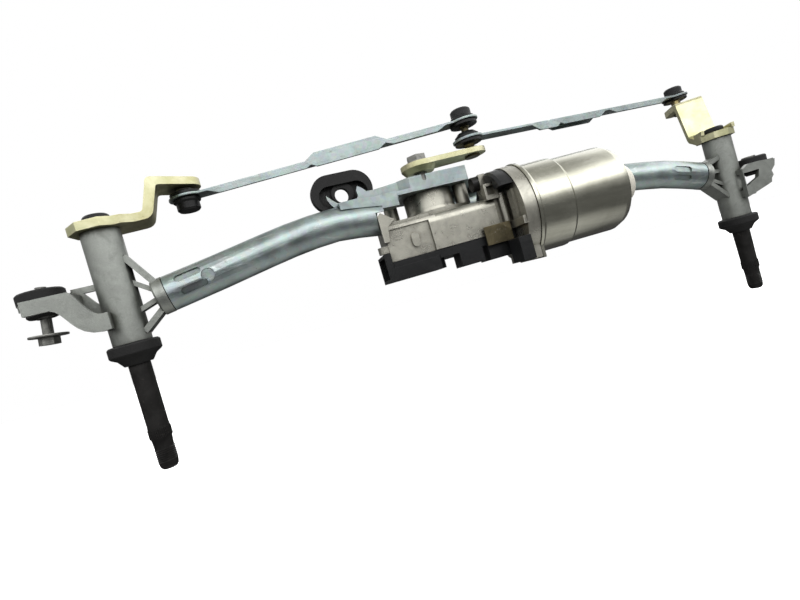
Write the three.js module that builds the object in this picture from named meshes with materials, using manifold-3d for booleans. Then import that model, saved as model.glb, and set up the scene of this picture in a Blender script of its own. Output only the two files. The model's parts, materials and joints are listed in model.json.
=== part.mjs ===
// Windshield wiper linkage with its motor, in millimetres.
// X runs from the left spindle to the right one, Z is up and both spindle ends point down.
// The origin is the middle of the left spindle's flat end face.
import * as THREE from 'three';
import { mergeVertices } from 'three/addons/utils/BufferGeometryUtils.js';
import Module from 'manifold-3d';

const wasm = await Module();
wasm.setup();

const GAP = 0.3;
const DEGREE = Math.PI / 180;

// Layout of the axes
const SPACING = 496;
const DROP = 35.6;
const MOTOR = { x: 223.3, y: 19.9, yaw: -7.5 };

// Pivot housings and spindles
const SLEEVE = { bottom: 81, top: 151.7, radius: 11.5, bore: 7.1 };
const SPINDLE = { radius: 6.8, neck: 6.4, tip: 5.8, head: 158 };
const LEFT_SPINDLE = { end: 0, shoulder: 19 };
const RIGHT_SPINDLE = { end: -21, shoulder: -3 };
const SEAL = { radius: 15.4, height: 7.4, lip: 5.9 };
const BARREL = { radius: 11.8, length: 7, plug: 8.7, plugLength: 16 };
const TUBE = { radius: 11.6, bore: 9.6 };

// Levers, crank and rods
const LEVER = { thick: 5.5, width: 24, tip: 12 };
const LEFT_LEVER = { angle: 35.9, length: 64.7, low: 152, high: 178.2, hub: 16, rise: 3 };
const RIGHT_LEVER = { angle: 61.3, length: 66.2, low: 116.4, high: 158.6, hub: 13.6, rise: 5 };
const CRANK = { angle: -7.8, length: 44.5, low: 152.2, thick: 3.8, hub: 14, tip: 11 };
const BALL = { radius: 6, lowZ: 165.1, highZ: 179.4, leftZ: 171.9, rightZ: 175.1 };
const SOCKET = { flange: 10.8, dome: 8.1, wall: 7.6 };
const ROD = { thick: 1.8, half: 7.5, eye: 12 };

// Motor bracket and the three rubber mounts
const BRACKET = { low: 131.5, thick: 3, wall: 10.8 };
const GROMMET = { radius: 13.2, bore: 5.8, neck: 9.5 };
const LEFT_MOUNT = { x: -40.5, plate: 114, top: 125 };
const RIGHT_MOUNT = { x: 527, plate: 82.5, top: 92.5 };
const CENTRE_MOUNT = { x: 156.2, y: 4.8, z: 145.2, depth: 6.5 };

// Gear housing, gears and motor; u runs along the armature from the output shaft
const HOUSING = { low: 86, top: 113, wall: 3, boss: 19, round: 31, left: -46, front: -38.5 };
const SHAFT_RADIUS = 5;
const WORM = { offset: -28.5, z: 97, root: 4.2, tip: 6.3 };
const WHEEL = { teeth: 46, root: 21.6, tip: 23.8, thick: 7 };
const FLANGE = { start: 46.5, radius: 34.6 };
const CAN = { start: 56, step: 84, end: 133, radius: 33, rear: 31.7, wall: 1.6, rim: 35.5 };

const LOOKS = {
  castAluminium: [0xa9aaa4, 0.55, 0.85],
  gearAluminium: [0xb8b6ac, 0.55, 0.85],
  zincSteel: [0xb4bcba, 0.38, 0.9],
  yellowZinc: [0xc9c79a, 0.42, 0.85],
  canSteel: [0x9a9a8c, 0.3, 0.95],
  plainSteel: [0x8f8f8c, 0.4, 0.95],
  blackSteel: [0x23241f, 0.55, 0.6],
  darkBronze: [0x3c3727, 0.45, 0.8],
  brass: [0xb08a4a, 0.35, 0.95],
  copper: [0xb06a3c, 0.35, 0.95],
  laminated: [0x5c5c5e, 0.5, 0.85],
  rubber: [0x1c1c1c, 0.85, 0.0],
  blackPlastic: [0x1b1d1e, 0.6, 0.0],
  creamPlastic: [0xd9d6c4, 0.55, 0.0],
  whiteNylon: [0xe4e2d6, 0.5, 0.0],
  magnet: [0x3a3a3d, 0.7, 0.1],
};

// ---- solid helpers ----

function clean(geometry) {
  const bare = geometry.clone();
  bare.deleteAttribute('normal');
  bare.deleteAttribute('uv');
  const merged = mergeVertices(bare, 1e-4);
  const position = merged.attributes.position;
  const corners = [];
  let volume = 0;
  const a = new THREE.Vector3();
  const b = new THREE.Vector3();
  const c = new THREE.Vector3();
  for (let i = 0; i < merged.index.count; i += 3) {
    const p = merged.index.getX(i);
    const q = merged.index.getX(i + 1);
    const r = merged.index.getX(i + 2);
    if (p === q || q === r || r === p) continue;
    corners.push(p, q, r);
    a.fromBufferAttribute(position, p);
    b.fromBufferAttribute(position, q);
    c.fromBufferAttribute(position, r);
    volume += a.dot(b.cross(c));
  }
  if (volume < 0) corners.reverse();
  merged.setIndex(corners);
  return merged;
}

function solidOf(geometry) {
  const shape = clean(geometry);
  return new wasm.Manifold(new wasm.Mesh({
    numProp: 3,
    vertProperties: new Float32Array(shape.attributes.position.array),
    triVerts: new Uint32Array(shape.index.array),
  }));
}

function geometryOf(solid) {
  const mesh = solid.getMesh();
  const geometry = new THREE.BufferGeometry();
  geometry.setAttribute('position', new THREE.BufferAttribute(mesh.vertProperties.slice(), 3));
  geometry.setIndex(Array.from(mesh.triVerts));
  return geometry;
}

function join(...pieces) {
  return geometryOf(pieces.map(solidOf).reduce((sum, piece) => sum.add(piece)));
}

function cut(base, ...tools) {
  return geometryOf(tools.map(solidOf).reduce((left, tool) => left.subtract(tool), solidOf(base)));
}

function common(first, second) {
  return geometryOf(solidOf(first).intersect(solidOf(second)));
}

// ---- basic shapes, each standing along +Z unless it says otherwise ----

function turned(profile, segments = 32) {
  const points = profile.map(([radius, z]) => new THREE.Vector2(radius, z));
  return new THREE.LatheGeometry(points, segments).rotateX(Math.PI / 2);
}

function rod(radius, low, high, segments = 32) {
  return turned([[0, low], [radius, low], [radius, high], [0, high]], segments);
}

function ring(inner, outer, low, high, segments = 32) {
  return turned([[inner, low], [outer, low], [outer, high], [inner, high], [inner, low]], segments);
}

function block(x0, x1, y0, y1, z0, z1) {
  const box = new THREE.BoxGeometry(x1 - x0, y1 - y0, z1 - z0);
  return box.translate((x0 + x1) / 2, (y0 + y1) / 2, (z0 + z1) / 2);
}

function outline(points) {
  return new THREE.Shape(points.map(([x, y]) => new THREE.Vector2(x, y)));
}

function slab(shape, low, high, curveSegments = 10) {
  const options = { depth: high - low, bevelEnabled: false, curveSegments };
  return new THREE.ExtrudeGeometry(shape, options).translate(0, 0, low);
}

// A plate whose outline is drawn in the X-Z plane and which is thick along Y.
function upright(shape, front, back, curveSegments = 10) {
  return slab(shape, 0, back - front, curveSegments).rotateX(Math.PI / 2).translate(0, back, 0);
}

function stadium(length, width) {
  const radius = width / 2;
  const reach = length / 2 - radius;
  const shape = new THREE.Shape();
  shape.moveTo(-reach, -radius);
  shape.lineTo(reach, -radius);
  shape.absarc(reach, 0, radius, -Math.PI / 2, Math.PI / 2, false);
  shape.lineTo(-reach, radius);
  shape.absarc(-reach, 0, radius, Math.PI / 2, 3 * Math.PI / 2, false);
  return shape;
}

function polygonShape(radius, sides, turn = 0) {
  const points = [];
  for (let i = 0; i < sides; i += 1) {
    const angle = turn + i * 2 * Math.PI / sides;
    points.push([radius * Math.cos(angle), radius * Math.sin(angle)]);
  }
  return outline(points);
}

// A straight bar of rectangular section between two points of the X-Z plane.
function strut(x0, z0, x1, z1, thick, width) {
  const length = Math.hypot(x1 - x0, z1 - z0);
  const bar = new THREE.BoxGeometry(length, width, thick);
  bar.rotateY(-Math.atan2(z1 - z0, x1 - x0));
  return bar.translate((x0 + x1) / 2, 0, (z0 + z1) / 2);
}

// A turned piece laid from a start point along a direction.
function aimed(geometry, start, direction) {
  const turn = new THREE.Quaternion();
  turn.setFromUnitVectors(new THREE.Vector3(0, 0, 1), direction.clone().normalize());
  return geometry.applyQuaternion(turn).translate(start.x, start.y, start.z);
}

// A tube swept through the points; without an inner radius it is a solid bar.
function pipe(points, outer, inner, steps) {
  const section = new THREE.Shape();
  section.absarc(0, 0, outer, 0, 2 * Math.PI, false);
  if (inner > 0) {
    const hole = new THREE.Path();
    hole.absarc(0, 0, inner, 0, 2 * Math.PI, true);
    section.holes.push(hole);
  }
  const path = new THREE.CatmullRomCurve3(points.map((point) => new THREE.Vector3(...point)));
  return new THREE.ExtrudeGeometry(section, { extrudePath: path, steps, curveSegments: 11 });
}

function polar(length, degrees) {
  return [length * Math.cos(degrees * DEGREE), length * Math.sin(degrees * DEGREE)];
}

function piece(name, geometry, look) {
  const [color, roughness, metalness] = LOOKS[look];
  const solid = clean(geometry);
  solid.computeVertexNormals();
  const mesh = new THREE.Mesh(solid, new THREE.MeshStandardMaterial({ color, roughness, metalness }));
  mesh.name = name;
  return mesh;
}

// ---- pivot housings, seals and spindles ----

function sleeveWithSpigot(bottom, top, side, spigot) {
  const { radius, bore } = SLEEVE;
  const along = new THREE.Vector3(side * Math.cos(spigot.rise), 0, Math.sin(spigot.rise));
  const foot = new THREE.Vector3(side * spigot.x, 0, spigot.z);
  const barrel = turned([
    [0, 0], [BARREL.radius - 1, 0], [BARREL.radius, 1], [BARREL.radius, BARREL.length],
    [BARREL.plug, BARREL.length], [BARREL.plug, BARREL.length + BARREL.plugLength],
    [0, BARREL.length + BARREL.plugLength],
  ], 28);
  const ribs = spigot.ribs.map(([sleeveZ, barrelZ, thick, width]) => strut(
    side * (radius - 2), sleeveZ, side * (spigot.x + 2), barrelZ, thick, width));
  const body = join(
    rod(radius, bottom, top, 32),
    aimed(barrel, foot, along),
    ...ribs,
  );
  return { body, hole: rod(bore, bottom - 1, top + 1, 28) };
}

// The casting's S-shaped arm, drawn from the sleeve out to the mount; lift raises its upper edge.
function armSide(lift, lower) {
  const side = new THREE.Shape();
  side.moveTo(-5, 101.6 + lift);
  side.lineTo(-8, 101.6 + lift);
  side.bezierCurveTo(-15, 102 + lift, -16, 111 + lift / 2, -22.5, 118.4 + lift / 2);
  side.lineTo(-47, 119 + lift / 2);
  side.lineTo(-47, 110.4);
  side.lineTo(-33.6, 110.2);
  side.bezierCurveTo(-25.6, 108.4, -25.6, 91.6 + lower, -10, 91.2 + lower);
  side.lineTo(-5, 91.6 + lower);
  return side;
}

function leftHousing() {
  const spigot = {
    x: 20.5, z: 103.6, rise: 9.5 * DEGREE,
    ribs: [[133, 112.5, 3.6, 13], [117, 107.5, 3, 9], [99, 103.5, 3, 9], [85.5, 96, 3.6, 13]],
  };
  const { body, hole } = sleeveWithSpigot(SLEEVE.bottom, SLEEVE.top, 1, spigot);
  const { x, plate } = LEFT_MOUNT;
  const backRail = outline([[-4, 119], [-4, 122.6], [-27, 123], [-27, 119]]);
  const pad = slab(outline([[-24, -15], [-24, 13], [-44, 14.5], [-52, 9], [-52, -8], [-46, -15]]), plate, plate + 4);
  const mouth = slab(stadium(2 * GROMMET.neck + 30.6, 2 * GROMMET.neck + 2 * GAP), plate - 1, plate + 5);
  mouth.translate(x - 15, 0, 0);
  const arm = cut(join(
    pad,
    upright(armSide(0, 0), -17.5, -14, 8),
    common(upright(armSide(6, 8), 8, 11.5, 8), block(-27.5, 0, 0, 20, 80, 130)),
    upright(backRail, 8, 11.5),
    block(-27, -22, -15, 11.5, 112, 118),
  ), mouth);
  const backOpening = upright(outline([[-19, 119], [-11.5, 119], [-11.5, 110.5]]), 5, 13);
  const root = block(-10, -5, -17.5, -4, 91.6, 101.6);
  return cut(join(body, arm, root, block(-12, -5, 4, 11.5, 99.6, 107.6)), hole, backOpening);
}

function rightHousing() {
  const spigot = {
    x: 23.8, z: 87.2, rise: 14.9 * DEGREE,
    ribs: [[100, 95, 3.6, 13], [88, 90, 3, 9], [76, 84.5, 3, 9], [65, 80, 3.6, 13]],
  };
  const { body, hole } = sleeveWithSpigot(SLEEVE.bottom - DROP, SLEEVE.top - DROP, -1, spigot);
  const frame = outline([
    [-2, 83], [6, 87], [20, 87], [38, 85.6], [36, 80], [31, 76], [32, 72], [29, 69.6], [28, 66.4],
    [23, 65], [-2, 59.4],
  ]);
  frame.holes.push(outline([[-1, 68.6], [14.5, 74], [17, 80.2], [-1, 80]]));
  const { x, plate } = RIGHT_MOUNT;
  const pad = slab(outline([[8, -17], [37, -17], [43, -11], [43, 8], [38, 14], [8, 14]]), plate, plate + 4);
  const seat = rod(GROMMET.neck + GAP, plate - 2, plate + 6, 24).translate(x - SPACING, 0, 0);
  const arm = cut(join(pad, upright(frame, -17.5, -14, 6)), seat);
  const roots = [block(-2, 7, -17.5, -4, 60.5, 66), block(-2, 7, -17.5, -4, 80.2, 84)];
  return cut(join(body, arm, ...roots), hole).translate(SPACING, 0, 0);
}

function seal(bottom) {
  const top = bottom - GAP;
  const low = top - SEAL.height;
  const inner = SPINDLE.radius + GAP;
  return turned([
    [inner, low - SEAL.lip], [inner + 1.2, low - SEAL.lip], [inner + 4.2, low - 1.8], [SEAL.radius - 1, low],
    [SEAL.radius, low + 1], [SEAL.radius, top - 1], [SEAL.radius - 1, top], [inner, top],
    [inner, low - SEAL.lip],
  ], 28);
}

// A spindle turned from bar, with a knurled seat for the wiper arm above its threaded end.
function spindle(drop, { end, shoulder }) {
  const { radius, neck, tip, head } = SPINDLE;
  return turned([
    [0, end], [tip - 1.8, end], [tip - 0.4, end + 1.6], [tip, end + 4], [tip, shoulder - 4.5],
    [neck - 0.3, shoulder], [neck + 0.2, shoulder + 1], [neck + 0.2, shoulder + 7], [neck, shoulder + 9],
    [radius, 66 - drop], [radius, head - drop], [0, head - drop],
  ], 24);
}

function spindleCap(drop) {
  const low = SPINDLE.head - drop + GAP;
  return turned([[0, low], [7.8, low], [7.8, low + 3.2], [6.8, low + 4.2], [0, low + 4.2]], 24);
}

// ---- levers ----

// A flat bar bent up and over in a Z; the hub is at the origin and the bar runs along +X.
// The bends lie across the bar, or at an angle to it when turn isn't zero.
function leverShape(lever, foot, head, turn = 0) {
  const { thick, width, tip } = LEVER;
  const { hub, rise } = lever;
  const end = lever.length + tip;
  const knee = lever.low + rise;
  const side = new THREE.Shape();
  side.moveTo(-hub - 2, lever.low);
  side.lineTo(9, lever.low);
  side.lineTo(foot - 1, knee);
  side.quadraticCurveTo(foot + 4.5, knee + 1, foot + 6, knee + 6);
  side.lineTo(head + 4, lever.high - 2);
  side.quadraticCurveTo(head + 4.5, lever.high, head + 7, lever.high);
  side.lineTo(end + 2, lever.high);
  side.lineTo(end + 2, lever.high + thick);
  side.lineTo(head + 3, lever.high + thick);
  side.quadraticCurveTo(head - 1.5, lever.high + thick, head - 2, lever.high);
  side.lineTo(foot, knee + thick + 2);
  side.quadraticCurveTo(foot - 0.5, knee + thick, foot - 3, knee + thick - 0.5);
  side.lineTo(9, lever.low + thick);
  side.lineTo(-hub - 2, lever.low + thick);
  const bent = upright(side, -hub - 2, end, 4).rotateZ(turn * DEGREE);

  const plan = new THREE.Shape();
  const corner = hub * Math.tan(22.5 * DEGREE);
  plan.moveTo(-hub, -corner);
  plan.lineTo(-corner, -hub);
  plan.lineTo(corner, -hub);
  plan.lineTo(hub, -width / 2);
  plan.lineTo(head + 6, -width / 2);
  plan.lineTo(lever.length, -tip);
  plan.absarc(lever.length, 0, tip, -Math.PI / 2, Math.PI / 2, false);
  plan.lineTo(head + 6, width / 2);
  plan.lineTo(hub, width / 2);
  plan.lineTo(corner, hub);
  plan.lineTo(-corner, hub);
  plan.lineTo(-hub, corner);
  return common(bent, slab(plan, lever.low - 5, lever.high + 20, 8));
}

function leftLever() {
  const { length, low, high, angle } = LEFT_LEVER;
  const bore = rod(SPINDLE.radius + GAP, low - 2, low + 12, 28);
  const rivetHole = rod(3.6, high + 1.2, high + 12, 20).translate(length, 0, 0);
  return cut(leverShape(LEFT_LEVER, 27, 34, -29.8), bore, rivetHole).rotateZ(angle * DEGREE);
}

function rightLever() {
  const { length, low, high, angle } = RIGHT_LEVER;
  const bore = rod(SPINDLE.radius + GAP, low - 2, low + 12, 28);
  const rivetHole = rod(3.6, high - 2, high + LEVER.thick - 1.2, 20).translate(length, 0, 0);
  const lips = [-1, 1].map((side) => strut(-9, low + 7.5, 9, low + 7.5, 4, 2.4)
    .translate(0, side * (RIGHT_LEVER.hub - 1.3), 0));
  const shape = cut(join(leverShape(RIGHT_LEVER, 24.5, 36), ...lips), bore, rivetHole);
  return shape.rotateZ(angle * DEGREE).translate(SPACING, 0, 0);
}

// ---- crank, ball studs, sockets and rods ----

function crankArm() {
  const { low, thick, hub, tip, length, angle } = CRANK;
  const plan = new THREE.Shape();
  plan.absarc(0, 0, hub, 70 * DEGREE, 290 * DEGREE, false);
  plan.lineTo(length, -tip);
  plan.absarc(length, 0, tip, -Math.PI / 2, Math.PI / 2, false);
  const web = slab(plan, low, low + thick, 9);
  const hubCone = turned([[0, low - 4], [hub - 3, low - 4], [hub, low], [hub, low + 1], [0, low + 1]], 32);
  const bore = rod(SHAFT_RADIUS + GAP, low - 6, low + 8, 24);
  const studHole = rod(4.1, low - 1, low + 8, 20).translate(length, 0, 0);
  return cut(join(web, hubCone), bore, studHole).rotateZ(angle * DEGREE).translate(MOTOR.x, MOTOR.y, 0);
}

function crankNut() {
  const low = CRANK.low + CRANK.thick + GAP;
  const hexagon = slab(polygonShape(8.1, 6, 0.2), low + 1.2, low + 6);
  const collar = rod(9.2, low, low + 1.5, 28);
  return cut(join(hexagon, collar), rod(SHAFT_RADIUS + GAP, low - 1, low + 8, 24))
    .translate(MOTOR.x, MOTOR.y, 0);
}

function outputShaft() {
  const top = CRANK.low + CRANK.thick + 6.6;
  return turned([
    [0, HOUSING.low + 3], [SHAFT_RADIUS, HOUSING.low + 3], [SHAFT_RADIUS, top - 0.8], [SHAFT_RADIUS - 0.8, top],
    [0, top],
  ], 24).translate(MOTOR.x, MOTOR.y, 0);
}

function ballBead(z, steps = 5) {
  const points = [];
  for (let i = 1; i < steps; i += 1) {
    const angle = -60 + i * 120 / steps;
    points.push([BALL.radius * Math.cos(angle * DEGREE), z + BALL.radius * Math.sin(angle * DEGREE)]);
  }
  return points;
}

function doubleStud() {
  const foot = CRANK.low - 1.6;
  const seat = CRANK.low + CRANK.thick + GAP;
  const top = BALL.highZ + 5.2;
  return turned([
    [0, foot], [6, foot], [6, CRANK.low - GAP], [3.8, CRANK.low - GAP], [3.8, seat], [6.2, seat], [6.2, seat + 1.4],
    [3.4, seat + 1.8], ...ballBead(BALL.lowZ), [3, BALL.lowZ + 5.6], [3, BALL.highZ - 5.6],
    ...ballBead(BALL.highZ), [2.4, top], [0, top],
  ], 16);
}

// One ball on a flanged base; the base faces down when up is 1 and faces up when it is -1.
function singleStud(ballZ, baseZ, up) {
  const profile = [
    [0, baseZ], [6.3, baseZ], [6.3, baseZ + up * 1.1], [3.4, baseZ + up * 1.3],
  ];
  const bead = ballBead(ballZ);
  if (up < 0) bead.reverse();
  return turned([...profile, ...bead, [2.4, ballZ + up * 5.2], [0, ballZ + up * 5.2]], 16);
}

// A moulded ball socket around a ball at height z; dome is 1 when its closed end is up.
// The rod plate lies in a groove between the two flanges.
function socketShape(z, dome, open) {
  const crown = open ? 5.4 : 9.8;
  const outer = [
    [SOCKET.wall, -4.2], [SOCKET.flange - 1.4, -3.9], [SOCKET.flange, -3.4], [SOCKET.flange, -1.3],
    [SOCKET.wall, -1.3], [SOCKET.wall, 1.3], [SOCKET.flange - 1.2, 1.3], [SOCKET.flange - 1.2, 3],
    [SOCKET.dome, 4], [SOCKET.dome, crown - 1.2], [SOCKET.dome - 1.2, crown],
  ];
  const cup = [];
  for (let angle = open ? 45 : 90; angle >= -45; angle -= 22.5) {
    const radius = BALL.radius + GAP;
    cup.push([radius * Math.cos(angle * DEGREE), radius * Math.sin(angle * DEGREE)]);
  }
  const mouth = (BALL.radius + GAP) * Math.cos(45 * DEGREE);
  const lid = [open ? mouth : 0, crown];
  const profile = [[mouth, -4.2], ...outer, lid, ...cup, [mouth, -4.2]];
  return turned(profile.map(([radius, height]) => [Math.max(radius, 0), z + dome * height]), 16);
}

// A pressed rod between two eyes; wall says where its stiffening flange stands up or hangs down.
function rodShape(length, walls) {
  const plan = new THREE.Shape();
  const { half, eye, thick } = ROD;
  const neck = Math.sqrt(eye * eye - half * half);
  const swing = Math.asin(half / eye);
  plan.moveTo(neck, -half);
  plan.lineTo(length - neck, -half);
  plan.absarc(length, 0, eye, Math.PI + swing, Math.PI - swing, false);
  plan.lineTo(neck, half);
  plan.absarc(0, 0, eye, swing, 2 * Math.PI - swing, false);
  const strip = slab(plan, -thick / 2, thick / 2, 10);
  const flanges = walls.map(({ from, to, low, high, y }) => {
    const slope = Math.min(8, (to - from) / 4);
    const face = outline([
      [from, -thick / 2], [from + slope, low], [to - slope, low], [to, -thick / 2],
      [to, thick / 2], [to - slope, high], [from + slope, high], [from, thick / 2],
    ]);
    return upright(face, y - thick / 2, y + thick / 2);
  });
  const eyes = [0, length].map((x) => rod(SOCKET.wall + GAP, -3, 3, 28).translate(x, 0, 0));
  return cut(join(strip, ...flanges), ...eyes);
}

function betweenPins(start, end) {
  const along = new THREE.Vector3(end[0] - start[0], end[1] - start[1], end[2] - start[2]);
  const flat = Math.hypot(along.x, along.y);
  const matrix = new THREE.Matrix4().makeTranslation(start[0], start[1], start[2]);
  matrix.multiply(new THREE.Matrix4().makeRotationZ(Math.atan2(along.y, along.x)));
  matrix.multiply(new THREE.Matrix4().makeRotationY(-Math.atan2(along.z, flat)));
  return { matrix, length: along.length() };
}

function linkage() {
  const [leftX, leftY] = polar(LEFT_LEVER.length, LEFT_LEVER.angle);
  const [rightX, rightY] = polar(RIGHT_LEVER.length, RIGHT_LEVER.angle);
  const [crankX, crankY] = polar(CRANK.length, CRANK.angle);
  const pin = [MOTOR.x + crankX, MOTOR.y + crankY];
  const left = betweenPins([leftX, leftY, BALL.leftZ], [...pin, BALL.highZ]);
  const right = betweenPins([...pin, BALL.lowZ], [SPACING + rightX, rightY, BALL.rightZ]);
  const half = ROD.half - ROD.thick / 2;
  const leftRod = rodShape(left.length, [
    { from: 16, to: 96, low: -4.5, high: ROD.thick / 2, y: -half },
    { from: 88, to: 152, low: -5, high: 5.5, y: -half },
    { from: 88, to: 152, low: -ROD.thick / 2, high: 5, y: half },
    { from: 148, to: 200, low: -4, high: ROD.thick / 2, y: -half },
  ]).applyMatrix4(left.matrix);
  const rightRod = rodShape(right.length, [
    { from: 62, to: 98, low: -6, high: ROD.thick / 2, y: -half },
    { from: 90, to: 152, low: -5, high: ROD.thick / 2, y: -half },
    { from: 90, to: 152, low: -5, high: ROD.thick / 2, y: half },
    { from: 158, to: 240, low: -4, high: ROD.thick / 2, y: -half },
  ]).applyMatrix4(right.matrix);
  const base = LEFT_LEVER.high - GAP;
  const seat = RIGHT_LEVER.high + LEVER.thick + GAP;
  return [
    piece('left_rod', leftRod, 'zincSteel'),
    piece('right_rod', rightRod, 'zincSteel'),
    piece('left_rod_lever_socket', socketShape(BALL.leftZ, -1, false).translate(leftX, leftY, 0), 'blackPlastic'),
    piece('left_rod_crank_socket', socketShape(BALL.highZ, 1, false).translate(pin[0], pin[1], 0), 'blackPlastic'),
    piece('right_rod_crank_socket', socketShape(BALL.lowZ, 1, true).translate(pin[0], pin[1], 0), 'blackPlastic'),
    piece('right_rod_lever_socket',
      socketShape(BALL.rightZ, 1, false).translate(SPACING + rightX, rightY, 0), 'blackPlastic'),
    piece('crank_double_ball_stud', doubleStud().translate(pin[0], pin[1], 0), 'darkBronze'),
    piece('left_ball_stud', singleStud(BALL.leftZ, base, -1).translate(leftX, leftY, 0), 'plainSteel'),
    piece('right_ball_stud', singleStud(BALL.rightZ, seat, 1).translate(SPACING + rightX, rightY, 0), 'brass'),
    piece('left_stud_rivet', rivet(LEFT_LEVER.high + LEVER.thick, 1).translate(leftX, leftY, 0), 'plainSteel'),
    piece('right_stud_rivet', rivet(RIGHT_LEVER.high, -1).translate(SPACING + rightX, rightY, 0), 'plainSteel'),
  ];
}

// The riveted tail of a ball stud: a head on the lever's free face with its shank in the lever.
function rivet(face, up) {
  const seat = face + up * GAP;
  return turned([
    [0, seat + up * 1.8], [3.8, seat + up * 1.8], [5, seat + up * 0.8], [5, seat], [3.3, seat],
    [3.3, face - up * (LEVER.thick - 1.6)], [0, face - up * (LEVER.thick - 1.6)],
  ], 20);
}

// ---- frame: tubes, bracket and mounts ----

function crimped(tube, marks) {
  const tools = marks.map(({ at, angle, size }) => {
    const pocket = slab(stadium(size[0], size[1]), 0, 6, 6);
    return pocket.translate(0, 0, TUBE.radius - 1.4).rotateX(angle * DEGREE).applyMatrix4(at);
  });
  return cut(tube, ...tools);
}

function alongTube(x, z, rise) {
  return new THREE.Matrix4().makeTranslation(x, 0, z).multiply(new THREE.Matrix4().makeRotationY(-rise));
}

const MAIN_RUN = [
  [27.9, 0, 104.8], [44, 0, 107.5], [60, 0, 110.1], [89, 0, 115.4], [118, 0, 120], [145, 0, 122], [176.5, 0, 118.4],
];
const RIGHT_RUN = [
  [464.7, 0, 89.1], [448, 0, 93.5], [432, 0.5, 97.6], [410, 5, 102.2], [382, 15, 107.5], [350, 28, 113.5],
  [316, 39, 117.6], [284, 45, 119.4], [251, 46, 119.4],
];

function mainTube() {
  const rise = 9.5 * DEGREE;
  const { left, front, top } = HOUSING;
  const housingRoom = onMotor(block(left - 0.4, 0, front + 1, 0, 80, top + 0.4));
  const finRoom = onMotor(block(left - 2.4, 0, front - 1, -32.5, 80, top + 9));
  const tube = cut(pipe(MAIN_RUN, TUBE.radius, TUBE.bore, 9), housingRoom, finRoom);
  return crimped(tube, [
    { at: alongTube(43, 107.3, rise), angle: 62, size: [17, 5] },
    { at: alongTube(44, 107.5, rise), angle: 108, size: [17, 4.5] },
    { at: alongTube(54, 109.2, rise), angle: 90, size: [8.5, 8.4] },
  ]);
}

function rightTube() {
  const rise = -14.9 * DEGREE;
  return crimped(pipe(RIGHT_RUN, TUBE.radius, TUBE.bore, 12), [
    { at: alongTube(440, 95.5, rise), angle: 80, size: [17, 5] },
    { at: alongTube(440, 95.5, rise), angle: 118, size: [17, 4.5] },
    { at: alongTube(421, 100.2, rise), angle: 88, size: [8.5, 8.4] },
  ]);
}

function motorBracket() {
  const { low, thick, wall } = BRACKET;
  const high = low + thick;
  const plate = slab(outline([
    [188, -5], [249, -5], [257, 12], [290, 34], [290, 58], [236, 58], [204, 46], [180, 30], [180, 14],
  ]), low, high);
  const frontWall = slab(outline([[196, 1.5], [203, -5], [249, -5], [249, -2], [204.5, -2], [199, 4.5], [196, 4.5]]),
    low, low + wall);
  const cradle = upright(outline([
    [198, low], [198, low + wall], [186.8, 141.3], [176.5, 140.5], [172, 140.8], [169.8, 143.5], [166.6, 145.7],
    [165.1, 143], [165.4, 138.5], [163.5, 136.9], [149.5, 136.9], [146.5, 139.6], [143, 143.6], [142.9, 140.7],
    [145.1, 135.8], [150.1, 130.3], [190, 127],
  ]), CENTRE_MOUNT.y - GAP - thick, CENTRE_MOUNT.y - GAP);
  const saddle = upright(outline([[148, 125], [148, 134.8], [162, 135], [174, 133.6], [190, high], [190, 124]]), -9, 4.5);
  const bridge = block(180, 192, -4.9, 16, 129.8, high);
  const shaftHole = rod(9.5, low - 2, high + 2, 28).translate(MOTOR.x, MOTOR.y, 0);
  const lookHole = slab(stadium(6.4, 3.4), -4, 4, 6).rotateZ(Math.PI / 2).rotateX(Math.PI / 2).translate(215, -4, 140.8);
  const tubeRoom = roomForTube();
  const holes = bracketScrews().map(([x, y]) => rod(3.4, low - 2, high + 2, 18).translate(x, y, 0));
  return cut(join(plate, frontWall, cradle, saddle, bridge), tubeRoom, shaftHole, lookHole, ...holes);
}

function roomForTube() {
  return pipe(MAIN_RUN, TUBE.radius + GAP + 0.2, 0, 18);
}

function bracketScrews() {
  return [[246.5, 9], [196, 34], [238, 49]];
}

function bracketScrew(x, y) {
  const seat = BRACKET.low + BRACKET.thick + GAP;
  const head = slab(polygonShape(5, 6, 0.3), seat, seat + 3.6);
  return join(head, rod(2.9, seat - 16, seat + 1, 18)).translate(x, y, 0);
}

function roundGrommet(plateLow, plateHigh, top, bottom) {
  const { radius, bore, neck } = GROMMET;
  return turned([
    [bore, bottom], [radius - 4, bottom], [radius - 3, bottom + 1], [radius - 3, plateLow - GAP],
    [neck, plateLow - GAP], [neck, plateHigh + GAP], [radius, plateHigh + GAP], [radius, top - 1],
    [radius - 1, top], [bore, top], [bore, bottom],
  ], 24);
}

function grommetSleeve(low, high) {
  return ring(GROMMET.bore - 1.4, GROMMET.bore - GAP, low, high, 24);
}

function mountBolt() {
  const seat = 97.2;
  const head = slab(polygonShape(5.8, 6, 0.15), seat - 4.4, seat);
  const shank = rod(3, seat - 1, 127.5, 20);
  return hanging(join(head, shank));
}

// The bolt hangs loose in its grommet, so it leans a little; the lean is about the middle of the grommet.
function hanging(geometry) {
  const middle = LEFT_MOUNT.plate + 3;
  return geometry.translate(0, 0, -middle).rotateY(6 * DEGREE).translate(LEFT_MOUNT.x, 0, middle);
}

function mountWasher() {
  return hanging(ring(3.4, 10.6, 97.5, 98.9, 24));
}

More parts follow.
